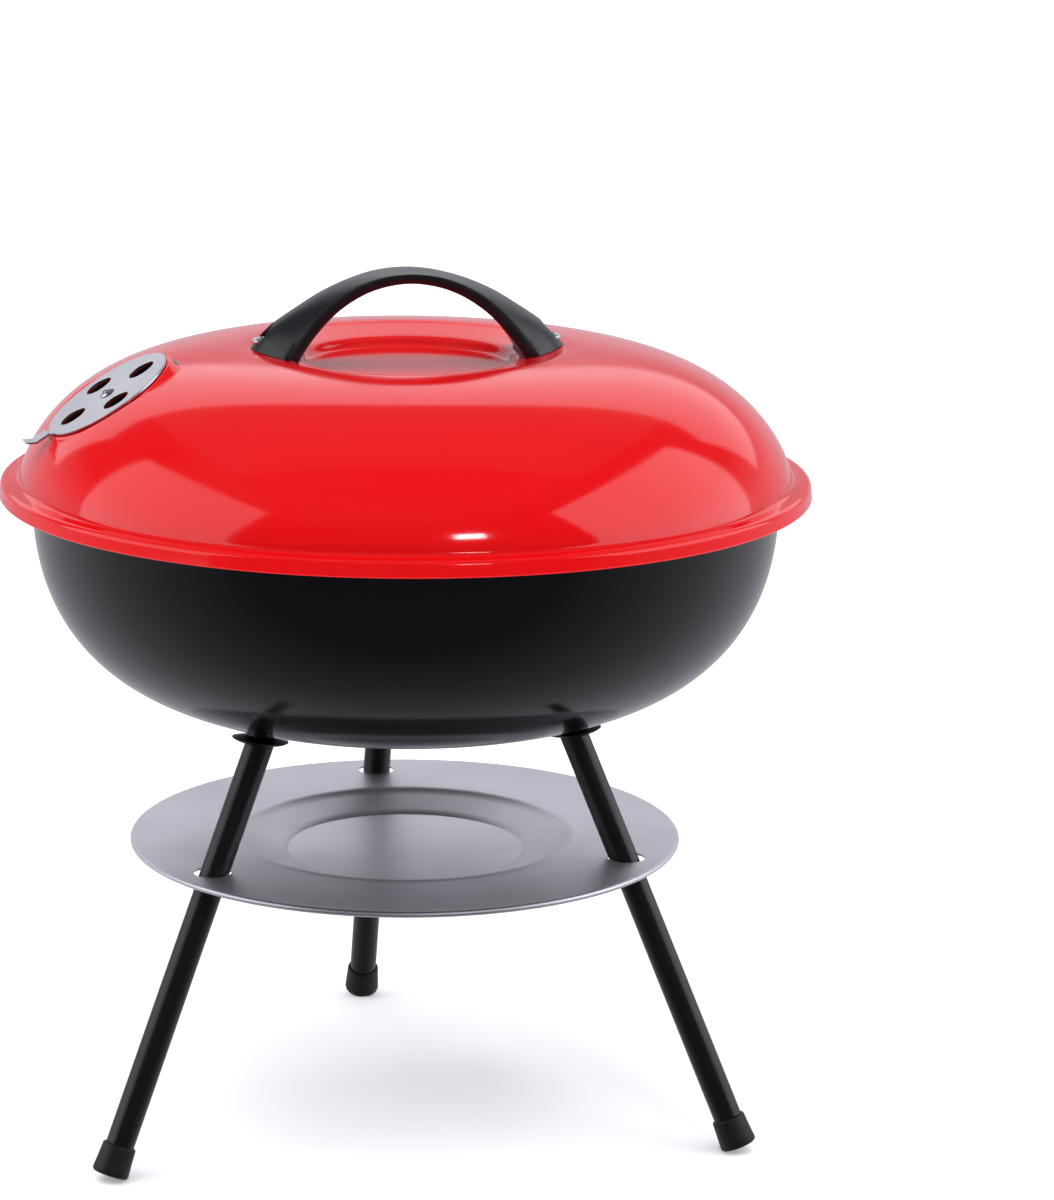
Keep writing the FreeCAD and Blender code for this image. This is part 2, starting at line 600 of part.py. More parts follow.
# ---------------------------------------------------------------- legs
splay, slope = size("leg_splay").number, size("bowl_slope").number
for name, bearing in LEGS.items():
    angle = math.radians(bearing)
    around = tilt((0, 0, 1), bearing)
    out = FreeCAD.Vector(math.cos(angle), math.sin(angle), 0)
    # the seat is the point of the bowl skin where the leg is bolted on
    spot = out * size("leg_reach").number + FreeCAD.Vector(0, 0, size("leg_top").number)
    flat = around * tilt((0, 1, 0), -slope)
    skin = flat.multVec(FreeCAD.Vector(0, 0, 1))
    lean = around * tilt((0, 1, 0), -splay)
    down = lean.multVec(FreeCAD.Vector(0, 0, -1))

    collar = new_body(f"{name}_leg_collar")
    profile = new_sketch(collar, "collar_profile", "XZ_Plane")
    hole, edge = size("bolt_radius") + 0.3, size("collar_radius")
    seat, neck = as_size(0.0) - size("collar_height"), size("collar_neck")
    trace(profile, [
        (hole, seat), (hole + 4.2, seat), (edge, seat + 1.5), (edge, seat + 2.0),
        (neck, seat + 3.4), (neck, as_size(-0.9)), (neck - 0.9, as_size(-0.05)),
        (hole, as_size(-0.05))])
    revolve(collar, profile, "collar_turn")
    collar.Placement = FreeCAD.Placement(spot, flat)

    seat_point = spot - skin * (size("collar_height").number + 0.05)
    tube = new_body(f"{name}_leg_tube")
    plan = new_sketch(tube, "tube_plan", "XY_Plane")
    ring(plan, ZERO, ZERO, size("tube_radius"))
    ring(plan, ZERO, ZERO, size("tube_radius") - size("tube_wall"))
    pad(tube, plan, "tube_wall", size("leg_length"), reversed_way=True)
    mitre = math.tan(math.radians(splay - slope))
    cut = new_sketch(tube, "tube_mitre", "XZ_Plane")
    trace(cut, [
        (as_size(-8.0), as_size(8.0 * mitre - 2.0)), (as_size(8.0), as_size(-8.0 * mitre - 2.0)),
        (as_size(8.0), as_size(6.0)), (as_size(-8.0), as_size(6.0))])
    pocket(tube, cut, "mitre", 30.0, midplane=True)
    tube.Placement = FreeCAD.Placement(seat_point - down * 2.0, lean)

    plug = new_body(f"{name}_leg_plug")
    plan = new_sketch(plug, "plug_plan", "XY_Plane")
    bore = size("tube_radius") - size("tube_wall")
    ring(plan, ZERO, ZERO, bore - 0.02)
    pad(plug, plan, "plug_block", 20.0, reversed_way=True)
    cut = new_sketch(plug, "plug_mitre", "XZ_Plane")
    trace(cut, [
        (as_size(-8.0), as_size(8.0 * mitre - 2.0)), (as_size(8.0), as_size(-8.0 * mitre - 2.0)),
        (as_size(8.0), as_size(6.0)), (as_size(-8.0), as_size(6.0))])
    pocket(plug, cut, "mitre", 30.0, midplane=True)
    tap = new_sketch(plug, "plug_tap", "XY_Plane", FreeCAD.Placement(
        FreeCAD.Vector(0, 0, -2.0), tilt((0, 1, 0), splay - slope)))
    ring(tap, ZERO, ZERO, size("bolt_radius"))
    pocket(plug, tap, "tapped_hole", 9.5)
    plug.Placement = FreeCAD.Placement(seat_point - down * 2.0, lean)

    bolt = new_body(f"{name}_leg_bolt")
    profile = new_sketch(bolt, "bolt_profile", "XZ_Plane")
    shank = size("bolt_radius")
    trace(profile, [
        (ZERO, as_size(-14.9)), (shank, as_size(-14.9)), (shank, as_size(2.7)),
        (as_size(5.4), as_size(2.7)), (as_size(5.4), as_size(4.9)),
        (as_size(4.2), as_size(6.3)), (ZERO, as_size(6.3))])
    revolve(bolt, profile, "bolt_turn")
    bolt.Placement = FreeCAD.Placement(spot, flat)

    washer = new_body(f"{name}_leg_washer")
    profile = new_sketch(washer, "washer_profile", "XZ_Plane")
    trace(profile, [
        (size("bolt_radius") + 0.3, as_size(1.45)), (as_size(8.0), as_size(1.45)),
        (as_size(8.0), as_size(2.65)), (size("bolt_radius") + 0.3, as_size(2.65))])
    revolve(washer, profile, "washer_turn")
    washer.Placement = FreeCAD.Placement(spot, flat)

    foot_cap = new_body(f"{name}_foot_cap")
    profile = new_sketch(foot_cap, "cap_profile", "XZ_Plane")
    cap, sleeve = size("cap_length"), size("tube_radius") + 0.02
    trace(profile, [
        (ZERO, ZERO), (size("cap_foot") - 1.2, ZERO, as_size(1.2), 1),
        (size("cap_foot"), as_size(1.2)), (size("cap_top"), cap - 1.0, as_size(1.0), 1),
        (size("cap_top") - 1.0 + 0.15, cap), (sleeve, cap), (sleeve, as_size(3.0)),
        (ZERO, as_size(3.0))])
    revolve(foot_cap, profile, "cap_turn")
    end = seat_point + down * (size("leg_length").number - 2.0 + 3.05)
    foot_cap.Placement = FreeCAD.Placement(end, lean)
    # the small flat that the cap stands on
    ground = FreeCAD.Placement(FreeCAD.Vector(end.x, end.y, 0), around)
    flat_cut = new_sketch(
        foot_cap, "ground_flat", "XY_Plane", foot_cap.Placement.inverse() * ground)
    ring(flat_cut, ZERO, ZERO, 15.0)
    pocket(foot_cap, flat_cut, "ground_cut", 6.0)

# ---------------------------------------------------------------- ash tray
ash_tray = new_body("ash_tray")
tray_under = size("tray_height") - size("tray_sheet")
tray_outline = [
    (ZERO, tray_under - size("tray_drop")),
    (size("tray_disc") - 1.0, tray_under - size("tray_drop")),
    (size("tray_slope") - 2.0, tray_under - 0.7),
    (size("tray_slope") + 2.0, tray_under),
    (size("tray_radius"), tray_under),
]
profile = new_sketch(ash_tray, "tray_profile", "XZ_Plane")
trace(profile, sheet_outline(tray_outline, size("tray_sheet")))
revolve(ash_tray, profile, "tray_turn")
profile = new_sketch(ash_tray, "hem_profile", "XZ_Plane")
ring(profile, size("tray_radius"), size("tray_height") - 0.5, size("tray_hem"))
revolve(ash_tray, profile, "rolled_hem")
holes = new_sketch(ash_tray, "leg_holes", "XY_Plane")
for name, bearing in LEGS.items():
    cos, sin = math.cos(math.radians(bearing)), math.sin(math.radians(bearing))
    reach = size("tray_hole_reach")
    ring(holes, reach * cos, reach * sin, size("tray_hole"))
pocket(ash_tray, holes, "leg_ways", 200.0, reversed_way=True)

# ---------------------------------------------------------------- grates


def grate(label, radius, height, hoop, wire, pitch, count, turn):
    """Round wire grate: a hoop, parallel rods on top of it and one rod across below."""
    body = new_body(label)
    profile = new_sketch(body, "hoop_profile", "XZ_Plane")
    ring(profile, radius, height, hoop)
    revolve(body, profile, "hoop")
    level = height + hoop + wire - 0.4
    for index in range(-count, count + 1):
        rod = new_sketch(body, f"rod_profile_{index + count}", "XZ_Plane")
        ring(rod, pitch * float(index) if index else ZERO, level, wire)
        reach = math.sqrt(radius.number ** 2 - (pitch.number * index) ** 2)
        pad(body, rod, f"rod_{index + count}", 2 * reach + 2.4, midplane=True)
    across = new_sketch(body, "cross_profile", "YZ_Plane")
    ring(across, ZERO, level - wire * 2.0 + 0.3, wire)
    pad(body, across, "cross_rod", radius * 2.0, midplane=True)
    place(body, rotation=tilt((0, 0, 1), turn))
    return body


grate("cooking_grate", size("grate_radius"), size("grate_height"), size("grate_ring"),
      size("grate_wire"), size("grate_pitch"), 7, -32)
grate("charcoal_grate", size("coal_radius"), size("coal_height"), size("coal_ring"),
      size("coal_wire"), size("coal_pitch"), 4, 20)

doc.recompute()

# ---------------------------------------------------------------- checks and export
bodies = [item for item in doc.Objects if item.TypeId == "PartDesign::Body"]
for item in doc.Objects:
    if "Invalid" in item.State or "Error" in item.State:
        raise RuntimeError(f"{item.Name} ({item.Label}) did not build: {item.State}")
for body in bodies:
    shape = body.Shape
    if shape.isNull() or not shape.isValid() or len(shape.Solids) != 1:
        raise RuntimeError(f"{body.Label} is not one valid solid")
for body in bodies:
    body.Shape.exportStep(f"parts/{body.Label}.step")
    box = body.Shape.BoundBox
    print(f"{body.Label}: {body.Shape.Volume:.0f} mm3, z {box.ZMin:.2f} to {box.ZMax:.2f}")
print(len(bodies), "sub-parts")
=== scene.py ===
import math

import bmesh
import bpy
from mathutils import Matrix, Vector


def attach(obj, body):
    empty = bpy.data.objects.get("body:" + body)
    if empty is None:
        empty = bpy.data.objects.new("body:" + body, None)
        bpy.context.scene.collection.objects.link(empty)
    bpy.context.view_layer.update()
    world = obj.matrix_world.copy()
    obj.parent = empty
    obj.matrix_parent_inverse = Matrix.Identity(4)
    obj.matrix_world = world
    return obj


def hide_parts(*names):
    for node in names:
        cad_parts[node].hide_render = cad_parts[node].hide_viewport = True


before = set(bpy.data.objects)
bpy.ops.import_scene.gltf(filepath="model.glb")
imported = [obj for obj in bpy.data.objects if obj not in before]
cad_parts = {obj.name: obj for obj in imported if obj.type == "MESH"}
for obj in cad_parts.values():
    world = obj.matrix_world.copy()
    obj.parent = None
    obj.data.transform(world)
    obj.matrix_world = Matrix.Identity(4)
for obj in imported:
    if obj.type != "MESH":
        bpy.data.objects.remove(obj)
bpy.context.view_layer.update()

MM = 0.001
FULL_TURN = 2 * math.pi
UP = Vector((0, 0, 1))
SEAMLESS = 320  # steps round the bowl and the lid, fine enough for a clean reflection

# ------------------------------------------------------------------ sizes, mm
WALL = 1.2
BOWL = {"radius": 166.6, "depth": 98.6, "side": 3.541, "bottom": 2.212, "neck": 287.5}
DOME = {"radius": 172.3, "height": 59.0, "side": 4.427, "top": 1.476, "foot": 297.0}
LID_LIP = 290.8
LID_FLANGE = 297.2
RECESS_EDGE = (71.3, 355.0)
RECESS_DISC = (44.5, 346.8)
RIM_TOP = 295.6
RIM_RADIUS = 176.2
BEAD = 2.2
LEG_BEARINGS = {"left": 217.5, "right": 337.5, "rear": 97.5}
LEG_REACH, LEG_TOP = 80.1, 192.4
LEG_SPLAY, BOWL_SLOPE = 24.1, 8.5
LEG_LENGTH, COLLAR_HEIGHT = 199.45, 7.0
TUBE, TUBE_WALL = 6.35, 1.1
TUBE_RISE, FOOT_FLOOR = 2.0, 3.05
TRAY_HEIGHT = 130.8
TRAY_RADIUS, TRAY_SHEET, TRAY_DROP, TRAY_HEM = 123.6, 1.0, 7.5, 1.3
TRAY_HOLE, TRAY_HOLE_REACH = 8.5, 106.9
DAMPER_REACH, DAMPER_HEIGHT = 136.5, 341.0
DAMPER_SLOPE, DAMPER_BEARING = 32.5, 195.5
SEAT_DEPTH, DAMPER_LIFT, DAMPER_SHEET = 3.0, 0.4, 1.0
DAMPER_RADIUS, BOWL_DAMPER_RADIUS, BOWL_FLOOR = 29.8, 28.0, 189.0
TAB_WIDTH, TAB_LENGTH, TAB_STEP, TAB_TIP = 9.5, 12.5, 1.1, 4.4
VENT, VENT_PITCH, BOWL_VENT_PITCH = 6.2, 18.0, 17.0
LID_VENTS, BOWL_VENTS = (0, 90, 180, 270), (30, 150, 270)
RIVET_HOLE, RIVET_SINK = 2.4, 0.05
SCREW_REACH, SCREW_SEAT = 64.5, 357.6
SCREW_HOLE, SCREW_WELL, NUT_DROP = 2.5, 5.1, 9.8
BRACKET_TURN = -60  # from each leg to the bracket beside it, degrees
HANDLE_TURN = 7.0
SEAT_EDGE = (30.9, 33.8)  # flat of the damper seat, and where its shoulder ends


# ------------------------------------------------------------------ materials
def linear(code):
    """sRGB hex to a linear colour."""
    channels = [int(code[i:i + 2], 16) / 255 for i in (1, 3, 5)]
    return [c / 12.92 if c <= 0.04045 else ((c + 0.055) / 1.055) ** 2.4 for c in channels] + [1.0]


def add_node(tree, kind, sockets=None, **settings):
    """Adds a node: sockets are values or links, settings are its own properties."""
    made = tree.nodes.new(kind)
    for key, value in settings.items():
        setattr(made, key, value)
    for key, value in (sockets or {}).items():
        if isinstance(value, bpy.types.NodeSocket):
            tree.links.new(value, made.inputs[key])
        else:
            made.inputs[key].default_value = value
    return made


def new_material(name):
    """A material with its shader, and object coordinates in metres to draw patterns on."""
    material = bpy.data.materials.new(name)
    material.use_nodes = True
    tree = material.node_tree
    tree.nodes.clear()
    shader = add_node(tree, "ShaderNodeBsdfPrincipled")
    add_node(tree, "ShaderNodeOutputMaterial", {"Surface": shader.outputs[0]})
    place = add_node(tree, "ShaderNodeTexCoord").outputs["Object"]
    return material, tree, shader, place


def vary(tree, shader, cloud, colours, sheen):
    """Drifts the colour and the roughness between two values with one noise."""
    tone = add_node(tree, "ShaderNodeMix", {
        0: cloud, 6: linear(colours[0]), 7: linear(colours[1])}, data_type="RGBA")
    gloss = add_node(tree, "ShaderNodeMapRange", {
        "Value": cloud, "From Min": 0.3, "From Max": 0.7, "To Min": sheen[0], "To Max": sheen[1]})
    tree.links.new(tone.outputs[2], shader.inputs["Base Color"])
    tree.links.new(gloss.outputs[0], shader.inputs["Roughness"])


def porcelain_enamel(name, colours, sheen):
    """Glass fused on pressed steel: a deep even colour under a wet gloss, with the
    orange-peel ripple that bends each reflection a little."""
    material, tree, shader, place = new_material(name)
    # the glaze pools in slow drifts of tone, some 60 mm across
    pool = add_node(tree, "ShaderNodeTexNoise", {"Vector": place, "Scale": 16.0, "Detail": 3.0})
    vary(tree, shader, pool.outputs["Fac"], colours, sheen)
    # ripple of about 5 mm, and pinholes of 0.4 mm drawn 0.8 mm wide so that they show
    peel = add_node(tree, "ShaderNodeTexNoise", {"Vector": place, "Scale": 200.0, "Detail": 1.0})
    pits = add_node(tree, "ShaderNodeTexVoronoi", {"Vector": place, "Scale": 170.0})
    depth = add_node(tree, "ShaderNodeMapRange", {
        "Value": pits.outputs["Distance"], "From Min": 0.0, "From Max": 0.09,
        "To Min": 0.0, "To Max": 1.0})
    pit_bump = add_node(tree, "ShaderNodeBump", {
        "Height": depth.outputs[0], "Strength": 0.06, "Distance": 0.0002})
    bump = add_node(tree, "ShaderNodeBump", {
        "Height": peel.outputs["Fac"], "Normal": pit_bump.outputs[0],
        "Strength": 0.035, "Distance": 0.0002})
    tree.links.new(bump.outputs[0], shader.inputs["Normal"])
    shader.inputs["IOR"].default_value = 1.52
    return material


def satin_coating(name, colours, sheen, grain_scale, texture, ior):
    """Dark matt-to-satin skin with a fine grain that softens the long highlights."""
    material, tree, shader, place = new_material(name)
    cloud = add_node(tree, "ShaderNodeTexNoise", {"Vector": place, "Scale": 50.0, "Detail": 3.0})
    vary(tree, shader, cloud.outputs["Fac"], colours, sheen)
    grain = add_node(tree, "ShaderNodeTexNoise", {
        "Vector": place, "Scale": grain_scale, "Detail": 3.0})
    bump = add_node(tree, "ShaderNodeBump", {
        "Height": grain.outputs["Fac"], "Strength": texture, "Distance": 0.0001})
    tree.links.new(bump.outputs[0], shader.inputs["Normal"])
    shader.inputs["IOR"].default_value = ior
    return material


def bare_metal(name, colours, sheen, grain_scale, texture):
    """Plain or plated steel: its own grey, with rolling or drawing lines that
    stretch the reflections, and clouded patches from handling."""
    material, tree, shader, place = new_material(name)
    cloud = add_node(tree, "ShaderNodeTexNoise", {"Vector": place, "Scale": 22.0, "Detail": 5.0})
    vary(tree, shader, cloud.outputs["Fac"], colours, sheen)
    drawn = add_node(tree, "ShaderNodeMapping", {"Vector": place, "Scale": grain_scale})
    lines = add_node(tree, "ShaderNodeTexNoise", {
        "Vector": drawn.outputs[0], "Scale": 1.0, "Detail": 4.0, "Roughness": 0.6})
    bump = add_node(tree, "ShaderNodeBump", {
        "Height": lines.outputs["Fac"], "Strength": texture, "Distance": 0.0001})
    tree.links.new(bump.outputs[0], shader.inputs["Normal"])
    shader.inputs["Metallic"].default_value = 1.0
    return material


# porcelain enamel, fired on the pressed lid: strong red, mirror-like but for its ripple
red_enamel = porcelain_enamel("red_porcelain_enamel", ("#D6070C", "#CC060A"), (0.07, 0.13))
# painted shade: the lid's inside and the walls of its vents are painted black, so the
# vents read as dark, unlit holes; the mesh carries where
tree = red_enamel.node_tree
shader = tree.nodes["Principled BSDF"]
outside = shader.inputs["Base Color"].links[0].from_socket
# mask of the faces painted black as shade, mixed over the red below
inside = add_node(tree, "ShaderNodeAttribute", attribute_name="painted_inner_shade")
coat = add_node(tree, "ShaderNodeMix", {
    0: inside.outputs["Fac"], 6: outside, 7: linear("#08070A")}, data_type="RGBA")
tree.links.new(coat.outputs[2], shader.inputs["Base Color"])
# the same enamel in black on the bowl: reads as black until it turns edge-on
black_enamel = porcelain_enamel("black_porcelain_enamel", ("#08070A", "#050507"), (0.11, 0.18))
# baked powder on the legs: satin black, grain about 0.7 mm
leg_coat = satin_coating("black_powder_coat", ("#0C0B0F", "#08080A"), (0.24, 0.33), 1400.0, 0.12, 1.5)
# thinner dip coat on the dished washers, a little duller than the legs
collar_coat = satin_coating("black_dip_coat", ("#0D0C10", "#09090B"), (0.30, 0.38), 1400.0, 0.10, 1.5)
# glass-filled nylon from a spark-eroded mould, grain about 0.5 mm: low broad sheen
handle_nylon = satin_coating("black_glass_filled_nylon", ("#0D0E13", "#090A0E"), (0.26, 0.34),
                             2000.0, 0.14, 1.55)
# soft matt moulding on the feet and in the tube ends, with a coarser grain of 0.8 mm
foot_plastic = satin_coating("black_matt_plastic", ("#0F0E13", "#0A090D"), (0.46, 0.56),
                             1250.0, 0.20, 1.5)
# mill-finished sheet of the ash tray: even satin grey, rolled along one direction
tray_metal = bare_metal("satin_rolled_sheet", ("#EAEAEF", "#E2E2E8"), (0.42, 0.48),
                        (30.0, 900.0, 900.0), 0.08)
# stamped and tumbled steel of the dampers: bright satin
damper_steel = bare_metal("tumbled_stamped_steel", ("#D6D7DB", "#C6C7CC"), (0.24, 0.34),
                          (60.0, 900.0, 900.0), 0.06)
# chromium plate over drawn wire: bright and smooth
bright_wire = bare_metal("chromium_plated_wire", ("#DCDDE0", "#D2D3D6"), (0.12, 0.20),
                         (300.0, 300.0, 300.0), 0.04)
# plain drawn wire of the lower grate: dull grey
coal_wire = bare_metal("plain_drawn_wire", ("#A9A8A6", "#8E8D8C"), (0.32, 0.46),
                       (300.0, 300.0, 300.0), 0.10)
# zinc plate on screws, nuts and rivets: bright with a clouded bloom
zinc_plate = bare_metal("clear_zinc_plate", ("#DCDCDF", "#CBCCD0"), (0.20, 0.32),
                        (500.0, 500.0, 500.0), 0.06)


# ------------------------------------------------------------------ outlines
def arc(start, end, radius, turn, step):
    """Points after start up to end on the short arc; turn 1 bends left, -1 right."""
    start, end = Vector(start), Vector(end)
    along = end - start
    side = Vector((-along.y, along.x)).normalized() * turn
    centre = (start + end) / 2 + side * math.sqrt(radius ** 2 - (along.length / 2) ** 2)
    swing = 2 * math.asin(along.length / 2 / radius) * turn
    count = max(2, round(abs(swing) * radius / step), round(abs(swing) / math.radians(12)))
    spoke = start - centre
    points = []
    for index in range(1, count + 1):
        a = swing * index / count
        points.append(centre + Vector((
            spoke.x * math.cos(a) - spoke.y * math.sin(a),
            spoke.x * math.sin(a) + spoke.y * math.cos(a))))
    return points


def outline(nodes, step=2.5):
    """Polyline through (x, z) nodes; (x, z, radius, turn) starts an arc."""
    points = [Vector(nodes[0][:2])]
    for node, following in zip(nodes, nodes[1:]):
        if len(node) > 2:
            points += arc(node[:2], following[:2], node[2], node[3], step)
            continue
        start, end = Vector(node[:2]), Vector(following[:2])
        count = max(1, round((end - start).length / (step * 3)))
        points += [start.lerp(end, index / count) for index in range(1, count + 1)]
    return points


def fair_curve(radius, height, side, top, steps=900):
    """Quarter of a rounded square, from (radius, 0) to (0, height)."""
    points = []
    for index in range(steps + 1):
        t = math.pi / 2 * index / steps
        points.append(Vector((
            radius * max(math.cos(t), 0.0) ** (2 / side), height * math.sin(t) ** (2 / top))))
    points[-1].x = 0.0
    return points


def even(points, step):
    """The same polyline with points a step apart."""
    result = [points[0]]
    gone = 0.0
    for before, after in zip(points, points[1:]):
        gone += (after - before).length
        if gone >= step:
            result.append(after)
            gone = 0.0
    if gone > step / 3:
        result.append(points[-1])
    else:
        result[-1] = points[-1]
    return result


def doubled(points, thickness):
    """The outline and its copy that lies a sheet's thickness to the left, joined."""
    inner = []
    for index, point in enumerate(points):
        before = points[max(index - 1, 0)]
        after = points[min(index + 1, len(points) - 1)]
        along = (after - before).normalized()
        if point.x < 1e-6:
            along = Vector((math.copysign(1, along.x), 0))
        inner.append(point + Vector((-along.y, along.x)) * thickness)
    return points, inner


# ------------------------------------------------------------------ pieces
def finish_piece(mesh_or_bm, name, material, body, nodes, crease=40):
    """Makes the object, shades it smooth except at true edges, and hands it over."""
    if isinstance(mesh_or_bm, bmesh.types.BMesh):
        mesh = bpy.data.meshes.new(name)
        mesh_or_bm.to_mesh(mesh)
        mesh_or_bm.free()
    else:
        mesh = mesh_or_bm
        mesh.name = name
    mesh.materials.clear()
    mesh.materials.append(material)
    mesh.shade_smooth()
    mesh.set_sharp_from_angle(angle=math.radians(crease))
    piece = bpy.data.objects.new(name, mesh)
    bpy.context.collection.objects.link(piece)
    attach(piece, body)
    if nodes:
        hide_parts(*nodes)
    return piece


def spun(points, steps=SEAMLESS, closed=False):
    """Turns an outline, in mm, about the upright axis into a clean bmesh, in metres."""
    bm = bmesh.new()
    verts = [bm.verts.new((point.x * MM, 0, point.y * MM)) for point in points]
    for a, b in zip(verts, verts[1:]):
        bm.edges.new((a, b))
    if closed:
        bm.edges.new((verts[-1], verts[0]))
    bmesh.ops.spin(bm, geom=bm.verts[:] + bm.edges[:], cent=(0, 0, 0), axis=UP,
                   angle=FULL_TURN, steps=steps, use_merge=True)
    bmesh.ops.remove_doubles(bm, verts=bm.verts[:], dist=1e-7)
    bmesh.ops.recalc_face_normals(bm, faces=bm.faces[:])
    return bm


def sheet_metal(points, thickness):
    """Closed outline of a turned sheet that starts in a rounded lip and ends on the axis."""
    outer, inner = doubled(points, thickness)
    along = (points[1] - points[0]).normalized()
    lip = (outer[0] + inner[0]) / 2 - along * thickness / 2
    return outer[::-1] + [lip] + inner


def rod(radius, low, high, steps=24):
    """Solid round bar between two heights, in mm."""
    bm = bmesh.new()
    bmesh.ops.create_cone(bm, cap_ends=True, segments=steps, radius1=radius * MM,
                          radius2=radius * MM, depth=(high - low) * MM,
                          matrix=Matrix.Translation((0, 0, (low + high) / 2 * MM)))
    return bm


def round_edges(bm, width, segments=2, angle=30):
    """Bevels every edge sharper than the angle."""
    edges = [e for e in bm.edges if len(e.link_faces) == 2
             and e.calc_face_angle(0) > math.radians(angle)]
    bmesh.ops.bevel(bm, geom=edges, offset=width * MM, offset_type="OFFSET", segments=segments,
                    profile=0.5, affect="EDGES", material=-1, clamp_overlap=True)


def as_object(bm):
    """A passing object for the cutting step."""
    mesh = bpy.data.meshes.new("cutter")
    bm.to_mesh(mesh)
    bm.free()
    made = bpy.data.objects.new("cutter", mesh)
    bpy.context.collection.objects.link(made)
    return made


def bored(bm, cutters):
    """The solid with other solids cut out of it, as a mesh."""
    blank = as_object(bm)
    tools = [as_object(cutter) for cutter in cutters]
    for tool in tools:
        step = blank.modifiers.new("cut", "BOOLEAN")
        step.operation, step.solver, step.object = "DIFFERENCE", "EXACT", tool
    graph = bpy.context.evaluated_depsgraph_get()
    mesh = bpy.data.meshes.new_from_object(blank.evaluated_get(graph))
    for item in [blank] + tools:
        bpy.data.objects.remove(item)
    return mesh


def joined(parts):
    """Several closed solids in one bmesh."""
    whole = bmesh.new()
    for part in parts:
        mesh = bpy.data.meshes.new("part")
        part.to_mesh(mesh)
        part.free()
        whole.from_mesh(mesh)
        bpy.data.meshes.remove(mesh)
    return whole


def moved(bm, matrix):
    """The same bmesh after a move or a turn."""
    bmesh.ops.transform(bm, matrix=matrix, verts=bm.verts[:])
    return bm


def shift(x, y, z):
    """A move by so many mm."""
    return Matrix.Translation((x * MM, y * MM, z * MM))


def turn(angle, axis):
    """A turn in degrees about one of the frame's axes."""
    return Matrix.Rotation(math.radians(angle), 4, axis)


# ------------------------------------------------------------------ bowl
def bowl_outline():
    """From the bottom centre up the wall, over the flange and round the curled rim."""
    side = fair_curve(BOWL["radius"], BOWL["depth"], BOWL["side"], BOWL["bottom"])
    wall = [Vector((p.x, BOWL["neck"] - p.y)) for p in reversed(even(side, 2.6))]
    neck = outline([(166.7, 289.0), (166.7, 291.2, 3.2, -1), (169.9, 294.4),
                    (RIM_RADIUS - 1.6, 294.4)])
    return wall + neck


def rolled_edge(centre, radius, start, sweep, steps):
    """Round of a rolled edge, from a start angle through a sweep, without its two ends."""
    points = []
    for index in range(1, steps):
        a = math.radians(start + sweep * index / steps)
        points.append(centre + Vector((radius * math.cos(a), radius * math.sin(a))))
    return points


bowl_outer, bowl_inner = doubled(bowl_outline(), WALL)
bead = rolled_edge(Vector((RIM_RADIUS, RIM_TOP - BEAD)), BEAD, 150, 300, 16)
bowl_loop = bowl_outer + bead + bowl_inner[::-1]
vents = [rod(RIVET_HOLE, 170, 200, 32)]
for bearing in BOWL_VENTS:
    vents.append(moved(rod(VENT, 170, 200, 48), turn(bearing, "Z") @ shift(BOWL_VENT_PITCH, 0, 0)))
finish_piece(bored(spun(bowl_loop), vents), "bowl_skin", black_enamel, "base", ["bowl_shell"])

# ------------------------------------------------------------------ lid
dome = fair_curve(DOME["radius"], DOME["height"], DOME["side"], DOME["top"])
dome = [Vector((p.x, p.y + DOME["foot"])) for p in dome]
dome = [p for p in even(dome, 2.4) if p.x > RECESS_EDGE[0] + 1.0 and p.y > DOME["foot"] + 1.9]
lip = outline([
    (181.2, LID_LIP), (180.7, LID_FLANGE - 2.2, 2.2, 1), (178.5, LID_FLANGE),
    (dome[0].x + 2.2, LID_FLANGE, 2.6, -1), (dome[0].x, dome[0].y)])
edge_x, edge_z = RECESS_EDGE
disc_x, disc_z = RECESS_DISC
recess = outline([
    (edge_x + 0.4, edge_z, 5.0, 1), (edge_x - 2.6, edge_z - 0.5),
    (disc_x + 6.0, disc_z + 4.2, 5.0, 1),
    (disc_x + 3.2, disc_z + 2.2, 4.5, -1), (disc_x - 0.2, disc_z), (0, disc_z)], step=1.0)
lid_line = lip[:-1] + dome + recess

damper_turn = turn(DAMPER_BEARING, "Z") @ turn(DAMPER_SLOPE, "Y")
damper_axis = (damper_turn @ UP).normalized()
damper_spot = turn(DAMPER_BEARING, "Z") @ Vector((DAMPER_REACH, 0, DAMPER_HEIGHT))
seat_place = Matrix.Translation((damper_spot - damper_axis * SEAT_DEPTH) * MM) @ damper_turn
to_seat = seat_place.inverted()
handle_way = turn(HANDLE_TURN, "Z")


lid_holes = [moved(rod(RIVET_HOLE, -9, 9, 32), seat_place)]
for bearing in LID_VENTS:
    lid_holes.append(moved(rod(VENT, -9, 2, 48),
                           seat_place @ turn(bearing, "Z") @ shift(VENT_PITCH, 0, 0)))
for way in (1, -1):
    lid_holes.append(moved(rod(SCREW_HOLE, -20, 20, 24),
                           handle_way @ shift(SCREW_REACH * way, 0, 350)))

def press_seat(bm):
    """Presses the round flat for the damper into the shell, with a drawn shoulder round it."""
    finer, deep = 45 * MM, 25 * MM
    for _ in range(2):
        near = [f for f in bm.faces if (to_seat @ f.calc_center_median()).xy.length < finer
                and abs((to_seat @ f.calc_center_median()).z) < deep]
        edges = list({e for f in near for e in f.edges})
        bmesh.ops.subdivide_edges(bm, edges=edges, cuts=1, use_grid_fill=True)
    bm.normal_update()
    for vert in bm.verts:
        local = to_seat @ vert.co
        reach = local.xy.length / MM
        if reach > SEAT_EDGE[1] or abs(local.z) > deep:
            continue
        under = vert.normal.dot(damper_axis) < 0
        level = -WALL * MM if under else 0.0
        share = min(max((reach - SEAT_EDGE[0]) / (SEAT_EDGE[1] - SEAT_EDGE[0]), 0), 1)
        share = share * share * (3 - 2 * share)
        local.z = level + (local.z - level) * share
        vert.co = seat_place @ local


